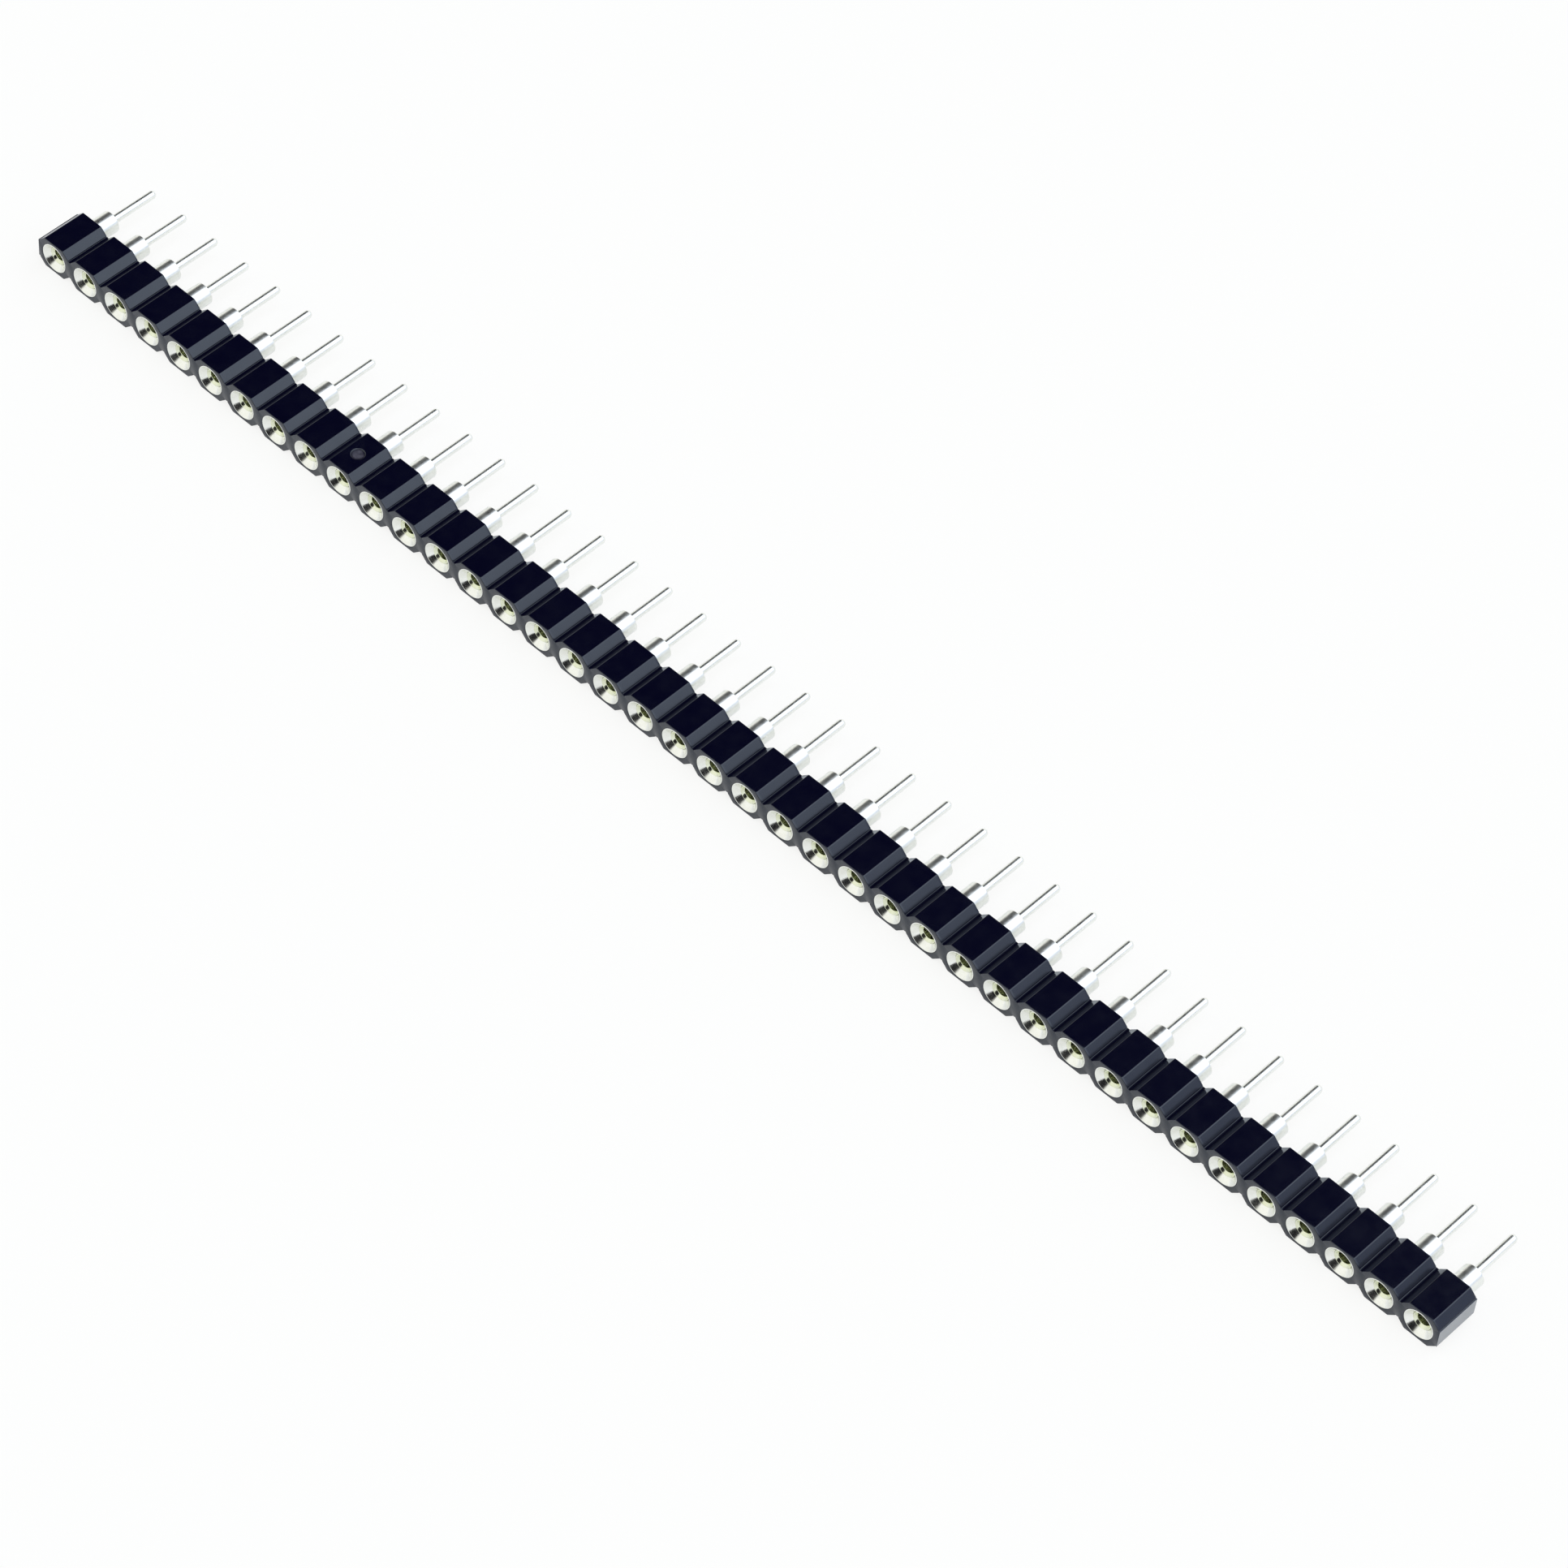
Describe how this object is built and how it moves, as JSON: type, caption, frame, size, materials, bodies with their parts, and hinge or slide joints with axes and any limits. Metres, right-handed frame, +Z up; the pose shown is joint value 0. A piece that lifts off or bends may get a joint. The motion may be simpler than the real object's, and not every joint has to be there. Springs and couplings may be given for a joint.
{
  "type": "turned-pin socket strip",
  "caption": "Single-row strip of turned round-hole sockets with solder tails, for plugging round pins into a circuit board.",
  "frame": {"origin": "centre of the footprint, on the surface that the strip lies on", "axes": "+X along the row, +Y from the socket face towards the solder tails, +Z up, across the row"},
  "size_m": [0.1016, 0.0074, 0.0022],
  "materials": {
    "insulator": "glossy black moulded thermoplastic",
    "sleeve": "bright tin plating on turned brass",
    "clip": "tin plating on spring copper alloy"
  },
  "bodies": {
    "root": {"insulator": "insulator", "sleeve_01": "sleeve", "sleeve_02": "sleeve", "sleeve_03": "sleeve", "sleeve_04": "sleeve", "sleeve_05": "sleeve", "sleeve_06": "sleeve", "sleeve_07": "sleeve", "sleeve_08": "sleeve", "sleeve_09": "sleeve", "sleeve_10": "sleeve", "sleeve_11": "sleeve", "sleeve_12": "sleeve", "sleeve_13": "sleeve", "sleeve_14": "sleeve", "sleeve_15": "sleeve", "sleeve_16": "sleeve", "sleeve_17": "sleeve", "sleeve_18": "sleeve", "sleeve_19": "sleeve", "sleeve_20": "sleeve", "sleeve_21": "sleeve", "sleeve_22": "sleeve", "sleeve_23": "sleeve", "sleeve_24": "sleeve", "sleeve_25": "sleeve", "sleeve_26": "sleeve", "sleeve_27": "sleeve", "sleeve_28": "sleeve", "sleeve_29": "sleeve", "sleeve_30": "sleeve", "sleeve_31": "sleeve", "sleeve_32": "sleeve", "sleeve_33": "sleeve", "sleeve_34": "sleeve", "sleeve_35": "sleeve", "sleeve_36": "sleeve", "sleeve_37": "sleeve", "sleeve_38": "sleeve", "sleeve_39": "sleeve", "sleeve_40": "sleeve", "clips_01": "clip", "clips_02": "clip", "clips_03": "clip", "clips_04": "clip", "clips_05": "clip", "clips_06": "clip", "clips_07": "clip", "clips_08": "clip", "clips_09": "clip", "clips_10": "clip"}
  },
  "joints": []
}
